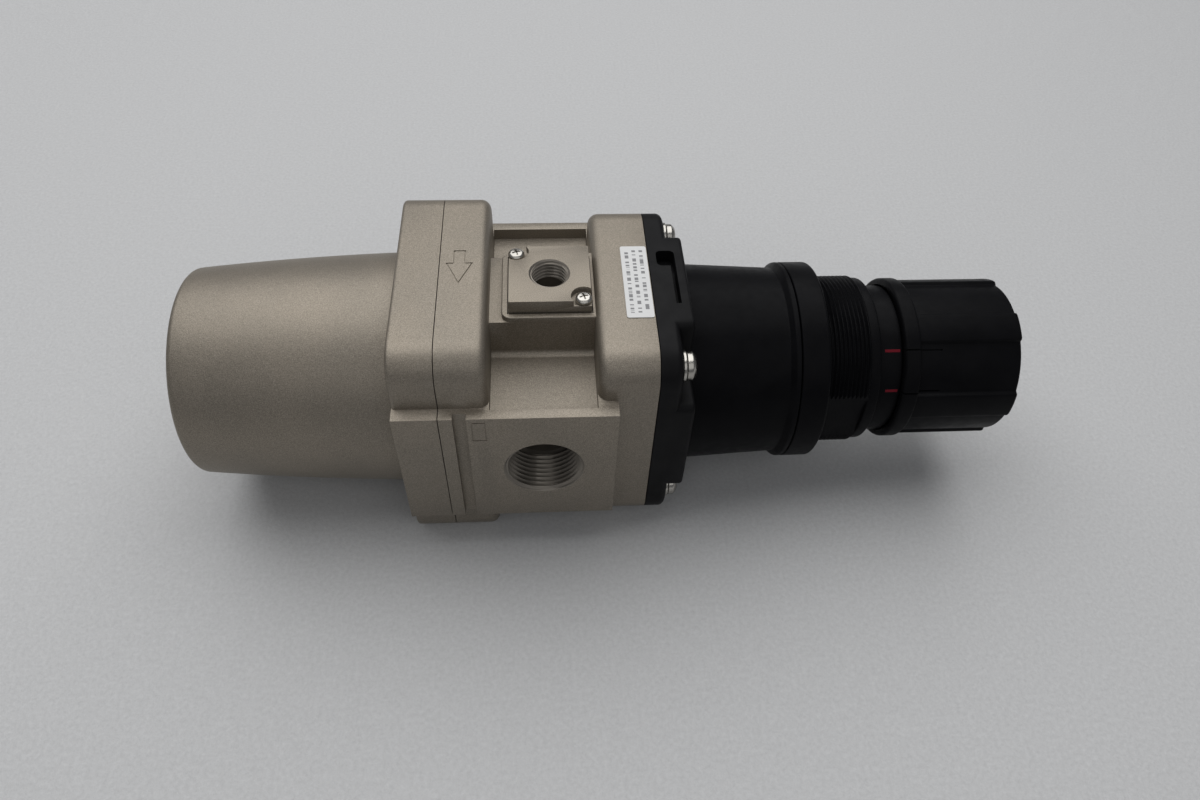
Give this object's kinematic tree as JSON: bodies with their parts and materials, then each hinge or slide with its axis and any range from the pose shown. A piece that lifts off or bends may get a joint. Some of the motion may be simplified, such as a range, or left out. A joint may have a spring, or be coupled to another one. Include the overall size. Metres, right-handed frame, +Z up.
{
  "type": "air filter regulator",
  "caption": "Modular compressed-air filter regulator lying on its side, with a metal filter bowl, side ports, a gauge port and a pull-out adjusting knob.",
  "frame": {"origin": "centre of the bounding box's bottom, on the surface the part lies on", "axes": "+X along the main axis from the bowl to the knob, +Y from the outlet port towards the inlet port, +Z up out of the gauge port"},
  "size_m": [0.301, 0.095, 0.095],
  "materials": {
    "cast_paint": "champagne silver powder coat with a fine stipple",
    "black_cover": "satin black",
    "drain_plastic": "satin black",
    "nickel": "bright nickel plate",
    "zinc_steel": "zinc plated",
    "brass": "turned",
    "nitrile": "matt",
    "grey_plastic": "moulded",
    "filter_media": "sintered, porous",
    "paper": "blank sticker"
  },
  "bodies": {
    "base": {"body": "cast_paint", "housing": "cast_paint", "housing_o_ring": "nitrile", "housing_screw_1": "zinc_steel", "housing_screw_2": "zinc_steel", "housing_screw_3": "zinc_steel", "housing_screw_4": "zinc_steel", "deflector": "grey_plastic", "filter_element": "filter_media", "baffle": "grey_plastic", "element_bolt": "brass", "valve_guide": "grey_plastic", "valve_spring": "zinc_steel", "stem_o_ring": "nitrile", "diaphragm": "nitrile", "adjusting_spring": "zinc_steel", "bonnet": "black_cover", "screw_bush": "brass", "bonnet_screw_1": "nickel", "bonnet_screw_2": "nickel", "bonnet_screw_3": "nickel", "bonnet_screw_4": "nickel", "bonnet_washer_1": "nickel", "bonnet_washer_2": "nickel", "bonnet_washer_3": "nickel", "bonnet_washer_4": "nickel", "lock_sleeve": "black_cover", "gauge_plate": "cast_paint", "gauge_seal": "nitrile", "gauge_screw_1": "nickel", "gauge_screw_2": "nickel", "blank_plate": "cast_paint", "blank_seal": "nitrile", "blank_screw_1": "nickel", "blank_screw_2": "nickel", "label": "paper"},
    "bowl_unit": {"bowl": "cast_paint", "bowl_o_ring": "nitrile", "drain_gasket": "nitrile", "drain_body": "brass", "drain_nut": "nickel"},
    "drain_cock": {"drain_cock": "drain_plastic"},
    "valve": {"valve_poppet": "brass", "valve_rubber": "nitrile", "valve_o_ring": "nitrile", "valve_stem": "brass"},
    "diaphragm_disc": {"diaphragm_hub": "brass", "spring_plate": "zinc_steel", "diaphragm_nut": "zinc_steel"},
    "spring_nut": {"spring_nut": "brass"},
    "screw": {"adjusting_screw": "zinc_steel", "thrust_washer": "zinc_steel", "snap_ring": "zinc_steel"},
    "knob": {"knob": "black_cover"},
    "ring_nut": {"ring_nut": "black_cover"}
  },
  "joints": [
    {"name": "screw_turn", "type": "hinge", "parent": "base", "child": "screw", "pos_m": [0.08155, 0, 0.0475], "axis": [1, 0, 0], "range_deg": [-1800, 720]},
    {"name": "nut_travel", "type": "slide", "parent": "base", "child": "spring_nut", "axis": [1, 0, 0], "range_m": [-0.0075, 0.003], "deforming": ["adjusting_spring"]},
    {"name": "knob_lock", "type": "slide", "parent": "screw", "child": "knob", "axis": [1, 0, 0], "range_m": [-0.0045, 0]},
    {"name": "diaphragm_slide", "type": "slide", "parent": "base", "child": "diaphragm_disc", "axis": [1, 0, 0], "range_m": [-0.003, 0], "stiffness_N_per_m": 800, "springref_m": 0.003, "deforming": ["diaphragm", "adjusting_spring"]},
    {"name": "valve_slide", "type": "slide", "parent": "base", "child": "valve", "axis": [1, 0, 0], "range_m": [-0.003, 0], "deforming": ["valve_spring"]},
    {"name": "drain_cock_turn", "type": "hinge", "parent": "bowl_unit", "child": "drain_cock", "pos_m": [-0.14645, 0, 0.0475], "axis": [1, 0, 0], "range_deg": [0, 270]},
    {"name": "bowl_removal", "type": "slide", "parent": "base", "child": "bowl_unit", "axis": [1, 0, 0], "range_m": [-0.09, 0]},
    {"name": "ring_nut_removal", "type": "slide", "parent": "base", "child": "ring_nut", "axis": [1, 0, 0], "range_m": [0, 0.083]}
  ],
  "couplings": [
    {"joint": "screw_turn", "follows": "nut_travel", "rad_per_m": 4188.8},
    {"joint": "valve_slide", "follows": "diaphragm_slide", "ratio": 1}
  ]
}
